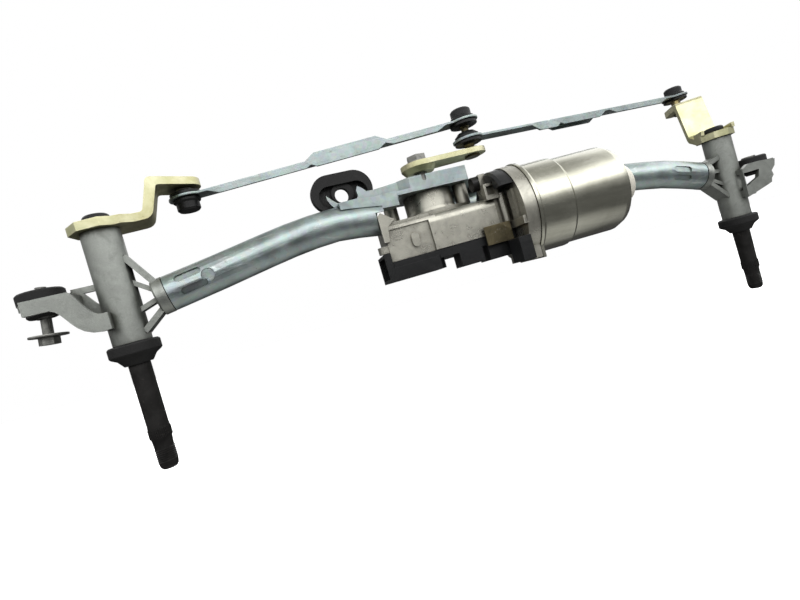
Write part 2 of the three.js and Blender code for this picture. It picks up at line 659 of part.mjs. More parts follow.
// A flattened oval cushion behind the bracket's cradle, hollow in front, with a thick core round its bore.
function centreGrommet() {
  const { x, y, z, depth } = CENTRE_MOUNT;
  const back = upright(stadium(45.3, 27), y, y + depth, 9).translate(x, 0, z);
  const hollow = upright(stadium(36, 15.5), y - 1, y + 4.8, 8).translate(x + 0.3, 0, z - 2.4);
  const core = upright(stadium(16.6, 13.8), y + 2.2, y + 5.5, 8).translate(x + 0.2, 0, z - 1);
  const bore = upright(stadium(10.41, 10.4), y - 8, y + depth + 2, 9).translate(x - 0.6, 0, z - 2.5);
  return cut(join(cut(back, hollow), core), bore, roomForTube());
}

// ---- gear housing and motor, drawn about the output shaft with X along the armature ----

function alongArmature(geometry, u) {
  return geometry.rotateY(Math.PI / 2).translate(u, WORM.offset, WORM.z);
}

function onMotor(geometry) {
  return geometry.rotateZ(MOTOR.yaw * DEGREE).translate(MOTOR.x, MOTOR.y, 0);
}

function gearHousing() {
  const { low, top, wall, boss, round, left, front } = HOUSING;
  const seat = BRACKET.low - GAP;
  const box = block(left, -12, front + 2, -2, low, top);
  const drum = rod(round, low, top + 2, 36);
  const tunnelSide = new THREE.Shape();
  tunnelSide.moveTo(front, low);
  tunnelSide.lineTo(front, top - 8);
  tunnelSide.quadraticCurveTo(front, top - 1, front + 7.5, top - 1);
  tunnelSide.lineTo(-14, top - 1);
  tunnelSide.lineTo(-14, low);
  const tunnel = slab(tunnelSide, 0, 50, 6).rotateX(Math.PI / 2).rotateZ(Math.PI / 2).translate(-13.7, 0, 0);
  const nose = block(30, 47, front + 2, -12, low, top - 2);
  const ribs = [
    rod(2.8, low + 5, top, 12).translate(42.4, front + 0.4, 0),
    block(FLANGE.start - 2, FLANGE.start + 1, -53, -45, low + 5, top - 1),
  ];
  const sill = block(FLANGE.start - 2.5, FLANGE.start + 1, -61.5, -37, low, low + 5.5);
  const flange = alongArmature(ring(8.5, FLANGE.radius, FLANGE.start, CAN.start - GAP, 36), 0);
  const flangeFoot = block(FLANGE.start + 3, CAN.start - GAP, -50, -7, WORM.z - 36, WORM.z - 27);
  const pocket = cut(block(30.5, 40, front - 2.6, front + 4, top - 3, top + 8.5),
    block(32.2, 38.2, front - 4, front + 1, top + 0.2, top + 6.6));
  const lug = block(33, 38, -30, -20, top - 6, WORM.z + 34);
  const tower = turned([[0, top - 5], [boss + 1.5, top - 5], [boss + 1.5, top + 3], [boss, top + 6],
    [boss, seat], [0, seat]], 32);
  const fin = upright(outline([[-48, 100], [-48, 119], [-45.5, 121], [-37, 114.5], [-43, 110], [-44, 100]]), -38.5, -33);
  const ear = cut(join(slab(stadium(14, 8), 93, 98), block(0, 8, -4, 4, 93, 98)), rod(2, 90, 100, 14));
  ear.translate(-46, -32, 0);
  const nub = slab(stadium(10, 5.5), 0, 3.4, 6).rotateZ(Math.PI / 2).rotateX(Math.PI / 2).translate(-26, -35, 97);
  const rim = block(left, -8, front + 0.6, -34, top - 5, top - 2.5);
  const shelf = block(20, 46.5, -18, -4, top - 8, top - 1);
  const feet = footPlaces().map(([u, v]) => rod(5.4, top - 6, seat, 20).translate(u, v, 0));
  const legs = footPlaces().map(([u, v]) => block(Math.min(u, 0), Math.max(u, 0), v - 2, v + 2, top - 6, top + 2));
  const solid = join(box, drum, tunnel, nose, ...ribs, sill, flange, flangeFoot, pocket, lug, tower, fin, ear, nub, rim,
    shelf, ...feet, ...legs);

  const wheelRoom = rod(round - wall, low - 1, top - 2, 32);
  const leftRoom = block(left + wall, -10, front + 2 + wall, -2 - wall, low - 1, top - wall);
  const wormRoom = alongArmature(rod(7.2, 0, 90, 28), -24);
  const shaftBore = rod(SHAFT_RADIUS + GAP, low, seat + 5, 24);
  const lugHole = motorScrewAt(rod(2.8, -6, 3.4, 14));
  const screwBores = footPlaces().map(([u, v]) => rod(3.2, seat - 17, seat + 5, 18).translate(u, v, 0));
  return cut(solid, wheelRoom, leftRoom, wormRoom, shaftBore, lugHole, ...screwBores);
}

// The place of the screw that pulls the motor against the gear housing; its head rests on the lug.
function motorScrewAt(geometry) {
  return geometry.rotateY(Math.PI / 2).translate(33, -25, WORM.z + 28.5);
}

function motorScrew() {
  const head = rod(5.4, -5.2, -GAP, 18);
  return motorScrewAt(join(head, rod(2.4, -1, 3, 14)));
}

// Where the bracket's screws stand, measured in the gear housing's own frame.
function footPlaces() {
  const turn = -MOTOR.yaw * DEGREE;
  return bracketScrews().map(([x, y]) => {
    const dx = x - MOTOR.x;
    const dy = y - MOTOR.y;
    return [dx * Math.cos(turn) - dy * Math.sin(turn), dx * Math.sin(turn) + dy * Math.cos(turn)];
  });
}

function gearCover() {
  const top = HOUSING.low - GAP;
  const { left, front, round } = HOUSING;
  const plan = new THREE.Shape();
  plan.moveTo(left, front + 1);
  plan.lineTo(46, front + 1);
  plan.lineTo(46, -14);
  plan.absarc(0, 0, round, -25 * DEGREE, 176 * DEGREE, false);
  plan.lineTo(left, -1);
  const lid = slab(plan, top - 6, top, 12);
  const plugPlan = outline([[left - 5, front], [-13, front], [-9, front + 5], [-9, -4], [left - 5, -2]]);
  const plug = slab(plugPlan, 72.5, top - 4);
  const collar = block(left - 5, left - GAP, front, -2, 74, 92.5);
  const cavity = block(left - 6, -30, front + 2.5, -4.5, 74.8, 83);
  const mouth = block(left - 6, left - 1.5, front + 2.5, -4.5, 74.8, 90.3);
  const boxes = [block(1.5, 19, front + 1, -20, 69.5, top - 3), block(23, 39, front + 1, -14, 68.6, top - 3)];
  return cut(join(lid, plug, collar, ...boxes), cavity, mouth);
}

// Five flat pins standing from one bar at the back of the connector socket.
function terminals() {
  const bar = block(-33, -31, -32, -8, 77, 80);
  const pins = [-30, -25, -20, -15, -10].map((v) => block(-44, -32, v - 1.2, v + 1.2, 78, 79));
  return join(bar, ...pins);
}

function wormWheel() {
  const { teeth, root, tip, thick } = WHEEL;
  const points = [];
  for (let i = 0; i < teeth; i += 1) {
    const step = 2 * Math.PI / teeth;
    const middle = -Math.PI / 2 + (i + 0.5) * step;
    points.push([root, middle - 0.36 * step], [tip, middle - 0.15 * step]);
    points.push([tip, middle + 0.15 * step], [root, middle + 0.36 * step]);
  }
  const shape = outline(points.map(([radius, angle]) => [radius * Math.cos(angle), radius * Math.sin(angle)]));
  const toothed = slab(shape, WORM.z - thick / 2, WORM.z + thick / 2);
  const hub = rod(10, WORM.z - 6.5, WORM.z + 9, 18);
  return cut(join(toothed, hub), rod(SHAFT_RADIUS + GAP, WORM.z - 10, WORM.z + 12, 24));
}

// Shaft, worm and bearing ends of the armature; the worm's thread is wound on the shaft.
function armatureShaft() {
  const pitch = 2 * Math.PI * (WHEEL.root + 1.1) / WHEEL.teeth;
  const turns = 5;
  const steps = 6;
  const first = -pitch * turns / 2;
  const profile = [[0, first - 12], [3.4, first - 12], [3.4, first - 1.5]];
  for (let i = 0; i <= turns * steps; i += 1) profile.push([WORM.root, first + i * pitch / steps]);
  profile.push([3.4, -first + 1.5], [3.4, CAN.end + 2], [0, CAN.end + 2]);
  const shaft = turned(profile, 14);
  const position = shaft.attributes.position;
  for (let i = 0; i < position.count; i += 1) {
    const x = position.getX(i);
    const y = position.getY(i);
    const z = position.getZ(i);
    const onThread = Math.abs(Math.hypot(x, y) - WORM.root) < 1e-6 && Math.abs(z) < -first - 0.1;
    if (!onThread) continue;
    const phase = z / pitch - Math.atan2(y, x) / (2 * Math.PI) + 0.75;
    const fraction = phase - Math.floor(phase);
    const height = Math.max(0, Math.min(1, 2.2 - Math.abs(fraction - 0.5) * 8));
    const grown = 1 + height * (WORM.tip - WORM.root) / WORM.root;
    position.setXYZ(i, x * grown, y * grown, z);
  }
  return alongArmature(shaft, 0);
}

function armatureCore() {
  const outer = 19.5;
  const slots = 8;
  const stack = rod(outer, 74, 110, 32);
  const grooves = [];
  for (let i = 0; i < slots; i += 1) {
    const groove = block(-1.4, 1.4, 12, outer + 1, 70, 114);
    grooves.push(groove.rotateZ(i * 2 * Math.PI / slots));
  }
  return alongArmature(cut(stack, rod(3.7, 70, 114, 20), ...grooves), 0);
}

function commutator() {
  return alongArmature(ring(3.7, 9.5, 59.5, 68, 24), 0);
}

function magnets() {
  return [-1, 1].map((side) => {
    const arc = ring(21.5, CAN.rear - CAN.wall - 0.4, 87, 116, 48);
    const half = block(side < 0 ? -40 : 6, side < 0 ? -6 : 40, -40, 40, 80, 130);
    return alongArmature(common(arc, half), 0);
  });
}

function motorCan() {
  const { start, step, end, radius, rear, wall, rim } = CAN;
  const foot = cut(block(start, start + 2.4, -50, -7, WORM.z - 37, WORM.z - 27),
    alongArmature(rod(radius - 0.5, start - 1, start + 4, 40), 0));
  return join(foot, alongArmature(turned([
    [radius - wall, start], [rim, start], [rim, start + 2.4], [radius + 0.6, start + 3.4], [radius, start + 5],
    [radius, step], [rear, step + 1.5], [rear, end - 9], [rear - 2.6, end - 3], [rear - 8, end], [16, end],
    [8, end + 0.4], [8, end - wall], [rear - 8.4, end - wall], [rear - wall - 2.2, end - 4.2],
    [rear - wall, end - 9.4], [rear - wall, step + 2], [radius - wall, step], [radius - wall, start],
  ], 36), 0));
}

function endBoss() {
  const seat = CAN.end + 0.4 + GAP;
  return alongArmature(turned([
    [4, seat], [15, seat], [15, seat + 4], [13.6, seat + 11], [12, seat + 12.5], [0, seat + 12.5], [0, seat + 6],
    [4, seat + 6], [4, seat],
  ], 32), 0);
}

// The dark hood over the brushes, arched between the gear housing and its round flange.
function brushHood() {
  const end = FLANGE.start - GAP;
  const arch = turned([
    [19, end - 9.6], [32, end - 9.6], [33.6, end - 8], [33.9, end], [19, end], [19, end - 9.6],
  ], 36);
  const overHousing = block(-40, -(HOUSING.top + 2.6 - WORM.z), -40, 40, 30, 60);
  const pocketRoom = block(30, 40.3, HOUSING.front - 5, HOUSING.front + 4.3, 110, HOUSING.top + 8.8);
  const lugRoom = block(32.7, 38.3, -30.3, -19.7, 100, WORM.z + 34.3);
  return cut(alongArmature(common(arch, overHousing), 0), pocketRoom, lugRoom);
}

function brushHolder() {
  return block(37, 46.2, -61, -41.8, 61.5, 78.2);
}

function groundClip() {
  const { front } = HOUSING;
  return block(22, 42, front - 4, front - 2.4, 78.5, 92);
}

function pivotEnds() {
  return [
    piece('left_pivot_housing', leftHousing(), 'castAluminium'),
    piece('right_pivot_housing', rightHousing(), 'castAluminium'),
    piece('left_spindle', spindle(0, LEFT_SPINDLE), 'blackSteel'),
    piece('right_spindle', spindle(DROP, RIGHT_SPINDLE).translate(SPACING, 0, 0), 'blackSteel'),
    piece('left_spindle_seal', seal(SLEEVE.bottom), 'rubber'),
    piece('right_spindle_seal', seal(SLEEVE.bottom - DROP).translate(SPACING, 0, 0), 'rubber'),
    piece('left_spindle_cap', spindleCap(0), 'blackPlastic'),
    piece('right_spindle_cap', spindleCap(DROP).translate(SPACING, 0, 0), 'blackPlastic'),
    piece('left_lever', leftLever(), 'yellowZinc'),
    piece('right_lever', rightLever(), 'yellowZinc'),
  ];
}

function frameParts() {
  const screws = bracketScrews().map(([x, y], i) => piece(`bracket_screw_${i + 1}`, bracketScrew(x, y), 'plainSteel'));
  return [
    piece('main_tube', mainTube(), 'zincSteel'),
    piece('right_tube', rightTube(), 'zincSteel'),
    piece('motor_bracket', motorBracket(), 'zincSteel'),
    ...screws,
    piece('left_grommet', roundGrommet(LEFT_MOUNT.plate, LEFT_MOUNT.plate + 4, LEFT_MOUNT.top, 109.5).translate(LEFT_MOUNT.x, 0, 0), 'rubber'),
    piece('left_grommet_sleeve', grommetSleeve(108.6, 126.2).translate(LEFT_MOUNT.x, 0, 0), 'plainSteel'),
    piece('left_mount_bolt', mountBolt(), 'plainSteel'),
    piece('left_mount_washer', mountWasher(), 'plainSteel'),
    piece('right_grommet', roundGrommet(RIGHT_MOUNT.plate, RIGHT_MOUNT.plate + 4, RIGHT_MOUNT.top, 78).translate(RIGHT_MOUNT.x, 0, 0), 'rubber'),
    piece('right_grommet_sleeve', grommetSleeve(77, 94).translate(RIGHT_MOUNT.x, 0, 0), 'plainSteel'),
    piece('centre_grommet', centreGrommet(), 'rubber'),
  ];
}

function driveParts() {
  const [magnetA, magnetB] = magnets();
  const inMotorFrame = [
    ['gear_housing', gearHousing(), 'gearAluminium'],
    ['gear_cover', gearCover(), 'blackPlastic'],
    ['terminal_strip', terminals(), 'brass'],
    ['worm_wheel', wormWheel(), 'whiteNylon'],
    ['armature_shaft', armatureShaft(), 'plainSteel'],
    ['armature_core', armatureCore(), 'laminated'],
    ['commutator', commutator(), 'copper'],
    ['magnet_front', magnetA, 'magnet'],
    ['magnet_back', magnetB, 'magnet'],
    ['motor_can', motorCan(), 'canSteel'],
    ['motor_end_boss', endBoss(), 'creamPlastic'],
    ['brush_hood', brushHood(), 'blackPlastic'],
    ['motor_screw', motorScrew(), 'blackSteel'],
    ['brush_holder', brushHolder(), 'blackPlastic'],
    ['ground_clip', groundClip(), 'darkBronze'],
  ];
  return [
    ...inMotorFrame.map(([name, geometry, look]) => piece(name, onMotor(geometry), look)),
    piece('output_shaft', outputShaft(), 'plainSteel'),
    piece('crank_arm', crankArm(), 'yellowZinc'),
    piece('crank_nut', crankNut(), 'plainSteel'),
  ];
}

const assembly = new THREE.Group();
assembly.name = 'windshield_wiper_assembly';
assembly.add(...pivotEnds(), ...frameParts(), ...linkage(), ...driveParts());

export default assembly;
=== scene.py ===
"""Studio scene of a windshield wiper linkage with its motor."""
import json
import math

import bmesh
import bpy
from mathutils import Matrix, Vector


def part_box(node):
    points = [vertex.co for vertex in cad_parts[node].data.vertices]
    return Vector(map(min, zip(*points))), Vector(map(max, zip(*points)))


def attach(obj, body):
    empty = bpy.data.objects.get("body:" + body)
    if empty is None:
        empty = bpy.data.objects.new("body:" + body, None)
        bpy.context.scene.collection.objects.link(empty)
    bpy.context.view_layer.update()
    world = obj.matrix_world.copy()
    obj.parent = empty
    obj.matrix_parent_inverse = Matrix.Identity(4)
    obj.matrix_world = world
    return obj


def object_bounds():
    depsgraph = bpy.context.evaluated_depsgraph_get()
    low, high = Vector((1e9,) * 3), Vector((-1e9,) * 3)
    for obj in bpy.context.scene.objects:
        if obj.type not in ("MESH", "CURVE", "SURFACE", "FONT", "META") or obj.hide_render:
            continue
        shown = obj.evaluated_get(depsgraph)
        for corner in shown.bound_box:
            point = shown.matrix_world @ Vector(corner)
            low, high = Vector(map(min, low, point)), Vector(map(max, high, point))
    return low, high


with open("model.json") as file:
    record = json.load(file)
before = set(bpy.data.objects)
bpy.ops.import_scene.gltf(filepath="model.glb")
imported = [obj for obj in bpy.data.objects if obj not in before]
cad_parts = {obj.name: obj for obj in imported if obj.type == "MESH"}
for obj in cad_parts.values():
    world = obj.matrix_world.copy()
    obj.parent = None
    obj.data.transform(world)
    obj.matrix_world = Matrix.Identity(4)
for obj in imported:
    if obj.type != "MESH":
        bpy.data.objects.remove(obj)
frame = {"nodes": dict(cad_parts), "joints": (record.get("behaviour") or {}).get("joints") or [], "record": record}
CAD_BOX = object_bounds()
RECORD = frame["record"]
MM = 0.001

CAMERA_AT = (0.0704, -0.3523, 0.0672)
CAMERA_TURN = (88.700, 16.156, -16.641)
LENS = 23.07
SENSOR_WIDTH = 36

FLOOR_SIZE = 14
FLOOR_DROP = 0.16

WELD_REACH = 0.01 * MM
EDGE_RADIUS = 0.35 * MM
FLAT_ANGLE = math.radians(0.6)
EDGE_ANGLE = math.radians(38)
SMOOTH_ANGLE = math.radians(34)

THREAD_SEGMENTS = 28
THREAD_SINK = 0.15 * MM
THREAD_FLANK = 0.42
RIDGE_SHARE = 0.60
RIDGE_SINK = 0.2 * MM
RIDGE_HEIGHT = 0.3 * MM

SPINDLE_THREAD = {"radius": 5.75 * MM, "length": 9.4 * MM, "pitch": 1.25 * MM, "height": 0.42 * MM}
SPINDLE_THREAD_RISE = 4.2 * MM
SPINDLE_SEAT = {"left": 19 * MM, "right": 18 * MM}
KNURL_RISE = 1.2 * MM
KNURL = {"radius": 6.55 * MM, "length": 5.6 * MM, "ridges": 40}
BOLT_THREAD = {"radius": 2.95 * MM, "length": 18.6 * MM, "pitch": 1.0 * MM, "height": 0.32 * MM}
BOLT_LEAN = math.radians(6)
BOLT_INSET = 3 * MM
BOLT_THREAD_DROP = 19.5 * MM


# ---- node helpers ----

RANGE_SOCKETS = ("From Min", "From Max", "To Min", "To Max")


class Finish:
    """A material under construction: a principled shader with noise-driven colour, gloss and relief."""

    def __init__(self, name):
        self.material = bpy.data.materials.new(name)
        self.material.use_nodes = True
        self.tree = self.material.node_tree
        self.shader = self.tree.nodes["Principled BSDF"]
        self.place = self.tree.nodes.new("ShaderNodeTexCoord").outputs["Object"]

    def node(self, kind, **settings):
        made = self.tree.nodes.new(kind)
        for key, value in settings.items():
            setattr(made, key, value)
        return made

    def join(self, source, target):
        self.tree.links.new(source, target)

    def mapped(self, scale, turn=(0, 0, 0)):
        mapping = self.node("ShaderNodeMapping")
        mapping.inputs["Rotation"].default_value = turn
        mapping.inputs["Scale"].default_value = scale
        self.join(self.place, mapping.inputs["Vector"])
        return mapping.outputs["Vector"]

    def noise(self, scale, detail=4, rough=0.55, place=None, warp=0):
        made = self.node("ShaderNodeTexNoise")
        made.inputs["Scale"].default_value = scale
        made.inputs["Detail"].default_value = detail
        made.inputs["Roughness"].default_value = rough
        made.inputs["Distortion"].default_value = warp
        self.join(place or self.place, made.inputs["Vector"])
        return made.outputs["Fac"]

    def cells(self, scale, output="Distance"):
        made = self.node("ShaderNodeTexVoronoi")
        made.inputs["Scale"].default_value = scale
        self.join(self.place, made.inputs["Vector"])
        return made.outputs[output]

    def spread(self, value, low, high, out_low=0.0, out_high=1.0):
        made = self.node("ShaderNodeMapRange")
        for key, number in zip(RANGE_SOCKETS, (low, high, out_low, out_high)):
            made.inputs[key].default_value = number
        self.join(value, made.inputs["Value"])
        return made.outputs["Result"]

    def math(self, operation, a, b):
        made = self.node("ShaderNodeMath", operation=operation)
        for socket, value in zip(made.inputs, (a, b)):
            if isinstance(value, (int, float)):
                socket.default_value = value
            else:
                self.join(value, socket)
        return made.outputs[0]

    def blend(self, share, a, b, mode="MIX"):
        made = self.node("ShaderNodeMix", data_type="RGBA", blend_type=mode)
        if isinstance(share, (int, float)):
            made.inputs[0].default_value = share
        else:
            self.join(share, made.inputs[0])
        for socket, value in ((made.inputs[6], a), (made.inputs[7], b)):
            if isinstance(value, tuple):
                socket.default_value = (*value, 1)
            else:
                self.join(value, socket)
        return made.outputs[2]

    def corners(self, reach):
        """1 in the open and 0 deep in a corner, a mask for painted shade in recesses."""
        made = self.node("ShaderNodeAmbientOcclusion", samples=6)
        made.inputs["Distance"].default_value = reach
        return made.outputs["AO"]

    def relief(self, *layers):
        """Bump from (height, depth in metres) layers."""
        normal = None
        for height, depth in layers:
            bump = self.node("ShaderNodeBump")
            bump.inputs["Strength"].default_value = 1.0
            bump.inputs["Distance"].default_value = depth
            self.join(height, bump.inputs["Height"])
            if normal is not None:
                self.join(normal, bump.inputs["Normal"])
            normal = bump.outputs["Normal"]
        self.join(normal, self.shader.inputs["Normal"])

    def put(self, colour, rough, metal, **sockets):
        """Sets the main inputs, and any others by name, and hands back the finished material."""
        for key, value in (("Base Color", colour), ("Roughness", rough), ("Metallic", metal)):
            socket = self.shader.inputs[key]
            if isinstance(value, tuple):
                socket.default_value = (*value, 1)
            elif isinstance(value, (int, float)):
                socket.default_value = value
            else:
                self.join(value, socket)
        for key, value in sockets.items():
            self.shader.inputs[key.replace("_", " ")].default_value = value
        return self.material


def tint(colour, factor):
    return tuple(min(1.0, channel * factor) for channel in colour)


# ---- finishes ----

def zinc_steel(name, colour):
    """Galvanised steel: cloudy patches, faint drawing lines, small dull stains, light rub marks and painted shade
    in recesses.
    """
    f = Finish(name)
    lines = f.noise(1.0, 3, 0.6, f.mapped((12, 420, 420)))
    clouds = f.noise(55, 6, 0.62, warp=0.5)
    spangle = f.cells(340, output="Color")
    stains = f.spread(f.noise(150, 7, 0.7, warp=1.2), 0.60, 0.70)
    rubbed = f.spread(f.noise(34, 8, 0.75, f.mapped((1, 4, 4)), 0.8), 0.58, 0.66)
    base = f.blend(f.spread(clouds, 0.34, 0.66), tint(colour, 0.74), tint(colour, 1.16))
    base = f.blend(0.10, base, spangle, "SOFT_LIGHT")
    base = f.blend(f.spread(lines, 0.35, 0.75, 0.0, 0.35), base, tint(colour, 0.8))
    base = f.blend(f.math("MULTIPLY", stains, 0.55), base, (0.22, 0.23, 0.20))
    base = f.blend(f.math("MULTIPLY", rubbed, 0.4), base, (0.74, 0.77, 0.75))
    # Painted shade: the colour darkens deep in recesses, from an occlusion mask.
    painted_shade = f.spread(f.corners(0.006), 0.35, 0.95, 0.5, 1.0)
    base = f.blend(1.0, base, f.blend(painted_shade, (0.25, 0.24, 0.2), (1, 1, 1)), "MULTIPLY")
    rough = f.math("ADD", f.spread(clouds, 0.3, 0.7, 0.30, 0.46), f.math("MULTIPLY", stains, 0.16))
    f.relief((lines, 0.00006), (f.noise(1400, 3, 0.6), 0.00005), (clouds, 0.00012))
    return f.put(base, rough, 0.92)


def yellow_zinc(name):
    """Passivated zinc: cream with faint green and straw drifts, dark specks and painted shade in recesses."""
    f = Finish(name)
    drift = f.noise(60, 5, 0.6, warp=0.3)
    hue = f.noise(38, 4, 0.55, warp=0.3)
    base = f.blend(f.spread(drift, 0.36, 0.64), (0.50, 0.48, 0.27), (0.70, 0.68, 0.46))
    base = f.blend(f.spread(hue, 0.52, 0.66, 0.0, 0.5), base, (0.44, 0.47, 0.25))
    base = f.blend(f.spread(hue, 0.46, 0.34, 0.0, 0.3), base, (0.66, 0.60, 0.46))
    marks = f.spread(f.noise(330, 6, 0.8, warp=0.4), 0.62, 0.68)
    base = f.blend(f.math("MULTIPLY", marks, 0.65), base, (0.15, 0.13, 0.07))
    # Painted shade: the colour darkens deep in recesses, from an occlusion mask.
    painted_shade = f.spread(f.corners(0.005), 0.3, 0.95, 0.3, 1.0)
    base = f.blend(1.0, base, f.blend(painted_shade, (0.20, 0.18, 0.10), (1, 1, 1)), "MULTIPLY")
    rough = f.math("ADD", f.spread(drift, 0.3, 0.7, 0.30, 0.42), f.math("MULTIPLY", marks, 0.2))
    f.relief((f.noise(900, 4, 0.65), 0.00006), (drift, 0.00005), (marks, 0.00003))
    return f.put(base, rough, 0.88)


def cast_metal(name, colour, grain=1100, sheen=0.42):
    """Pressure-cast light alloy: fine grain, flow marks, grey patches and painted shade in recesses."""
    f = Finish(name)
    skin = f.noise(grain, 4, 0.7)
    flow = f.noise(48, 7, 0.65, warp=1.8)
    patches = f.spread(f.noise(85, 6, 0.7, warp=0.6), 0.52, 0.68)
    pits = f.spread(f.cells(620), 0.0, 0.16, 1.0, 0.0)
    base = f.blend(f.spread(flow, 0.34, 0.66), tint(colour, 0.86), tint(colour, 1.1))
    base = f.blend(f.spread(skin, 0.3, 0.7, 0.0, 0.3), base, tint(colour, 0.62))
    base = f.blend(f.math("MULTIPLY", patches, 0.45), base, tint(colour, 0.55))
    base = f.blend(f.math("MULTIPLY", pits, 0.35), base, (0.12, 0.12, 0.11))
    # Painted shade: the colour darkens deep in recesses, from an occlusion mask.
    painted_shade = f.spread(f.corners(0.007), 0.25, 0.95, 0.25, 1.0)
    base = f.blend(1.0, base, f.blend(painted_shade, (0.16, 0.15, 0.12), (1, 1, 1)), "MULTIPLY")
    gloss = f.spread(flow, 0.3, 0.7, sheen - 0.07, sheen + 0.08)
    rough = f.math("ADD", gloss, f.math("MULTIPLY", patches, 0.12))
    f.relief((skin, 0.0001), (flow, 0.0001), (pits, 0.00005))
    return f.put(base, rough, 0.9)


def drawn_steel(name, turn):
    """Smooth drawn steel: fine lines round and along it, faint smears and small brown spots."""
    f = Finish(name)
    rings = f.noise(1.0, 4, 0.7, f.mapped((2600, 30, 30), turn))
    draw = f.noise(1.0, 4, 0.6, f.mapped((14, 260, 260), turn))
    smear = f.noise(45, 6, 0.65, warp=1.0)
    spots = f.spread(f.noise(210, 7, 0.75, warp=0.8), 0.63, 0.70)
    base = f.blend(f.spread(smear, 0.35, 0.65), (0.42, 0.415, 0.345), (0.50, 0.495, 0.42))
    base = f.blend(f.spread(draw, 0.4, 0.7, 0.0, 0.3), base, (0.28, 0.28, 0.23))
    base = f.blend(f.math("MULTIPLY", spots, 0.5), base, (0.22, 0.19, 0.13))
    rough = f.math("ADD", f.spread(smear, 0.3, 0.7, 0.13, 0.20), f.spread(rings, 0.3, 0.7, 0.0, 0.04))
    f.relief((rings, 0.000002), (draw, 0.000006), (smear, 0.00003))
    return f.put(base, rough, 0.96)


def dark_steel(name, colour, metal, rough, wear=0.3):
    """Dark plated or phosphated steel with turning lines, a dusty bloom and bright rubbed spots."""
    f = Finish(name)
    lines = f.noise(1.0, 3, 0.6, f.mapped((40, 40, 1800)))
    bloom = f.noise(70, 6, 0.65, warp=0.8)
    worn = f.spread(f.noise(160, 8, 0.78, warp=0.6), 0.58, 0.68)
    base = f.blend(f.spread(bloom, 0.35, 0.65), tint(colour, 0.65), tint(colour, 1.4))
    base = f.blend(f.math("MULTIPLY", worn, wear), base, (0.42, 0.38, 0.32))
    gloss = f.math("ADD", f.spread(bloom, 0.3, 0.7, rough - 0.08, rough + 0.1),
                   f.spread(lines, 0.3, 0.7, 0, 0.06))
    f.relief((lines, 0.00004), (f.noise(1300, 4, 0.65), 0.00006))
    return f.put(base, gloss, metal, Specular_IOR_Level=0.25)


def moulded(name, colour, rough, dust, grain=1500, depth=0.00007):
    """Moulded rubber or plastic: fine skin, dusty patches and pale dust on what faces up."""
    f = Finish(name)
    skin = f.noise(grain, 4, 0.6)
    haze = f.noise(60, 7, 0.68, warp=0.9)
    up = f.node("ShaderNodeSeparateXYZ")
    f.join(f.node("ShaderNodeNewGeometry").outputs["Normal"], up.inputs[0])
    settled = f.math("MULTIPLY", f.spread(up.outputs[2], 0.1, 1.0), f.spread(haze, 0.35, 0.65))
    dusty = tuple(channel * (1 - 0.08 * dust) + 0.08 * dust for channel in colour)
    base = f.blend(f.spread(haze, 0.4, 0.7, 0.0, dust), tint(colour, 0.8), dusty)
    base = f.blend(f.math("MULTIPLY", settled, 0.35 * dust), base, tuple(c * 0.6 + 0.10 for c in colour))
    gloss = f.spread(haze, 0.3, 0.7, rough - 0.08, rough + 0.12)
    f.relief((skin, depth), (haze, 0.00012))
    return f.put(base, gloss, 0.0, Specular_IOR_Level=0.3)


def coloured_metal(name, colour, rough):
    """Brass or copper with a light tarnish."""
    f = Finish(name)
    tarnish = f.noise(260, 6, 0.7, warp=0.7)
    base = f.blend(f.spread(tarnish, 0.36, 0.66), tint(colour, 0.55), tint(colour, 1.1))
    gloss = f.spread(tarnish, 0.3, 0.7, rough + 0.14, rough - 0.04)
    f.relief((f.noise(1500, 3, 0.6), 0.00004))
    return f.put(base, gloss, 0.95)


def sintered(name, colour, sheets=False):
    """Ferrite, or a stack of thin steel sheets when sheets is true."""
    f = Finish(name)
    grain = f.noise(1800, 4, 0.7)
    base = f.blend(grain, tint(colour, 0.6), tint(colour, 1.3))
    scale = (1500, 20, 20) if sheets else (600, 600, 600)
    f.relief((f.noise(1.0, 2, 0.5, f.mapped(scale, MOTOR_TURN)), 0.0001), (grain, 0.00004))
    return f.put(base, f.spread(grain, 0.3, 0.7, 0.45, 0.65), 0.8 if sheets else 0.2)


def joint_named(name):
    return next(joint for joint in frame["joints"] if joint["name"] == name)


ARMATURE_AXIS = Vector(joint_named("armature_spin")["axis"])
MOTOR_TURN = (0, 0, -math.atan2(ARMATURE_AXIS.y, ARMATURE_AXIS.x))

FINISHES = {
    "pivot_casting": cast_metal("pivot_casting", (0.33, 0.345, 0.32)),
    "gear_casting": cast_metal("gear_casting", (0.43, 0.42, 0.365), 1300, 0.30),
    "zinc_steel": zinc_steel("zinc_steel", (0.34, 0.395, 0.39)),
    "yellow_zinc": yellow_zinc("yellow_zinc"),
    "can_steel": drawn_steel("can_steel", MOTOR_TURN),
    "plain_steel": dark_steel("plain_steel", (0.22, 0.22, 0.205), 0.92, 0.32, 0.5),
    "black_steel": dark_steel("black_steel", (0.010, 0.0095, 0.009), 0.1, 0.34, 0.06),
    "bronzed_steel": dark_steel("bronzed_steel", (0.10, 0.085, 0.05), 0.8, 0.36, 0.4),
    "brass": coloured_metal("brass", (0.60, 0.51, 0.34), 0.3),
    "copper": coloured_metal("copper", (0.72, 0.36, 0.2), 0.3),
    "laminated": sintered("laminated", (0.3, 0.3, 0.31), True),
    "rubber": moulded("rubber", (0.008, 0.008, 0.008), 0.60, 0.22),
    "black_plastic": moulded("black_plastic", (0.006, 0.0065, 0.007), 0.38, 0.16, 900, 0.00008),
    "cream_plastic": moulded("cream_plastic", (0.74, 0.71, 0.62), 0.45, 0.3),
    "white_nylon": moulded("white_nylon", (0.80, 0.78, 0.70), 0.38, 0.2),
    "magnet": sintered("magnet", (0.10, 0.10, 0.11)),
}


# ---- edges and shading of the carried-over solids ----

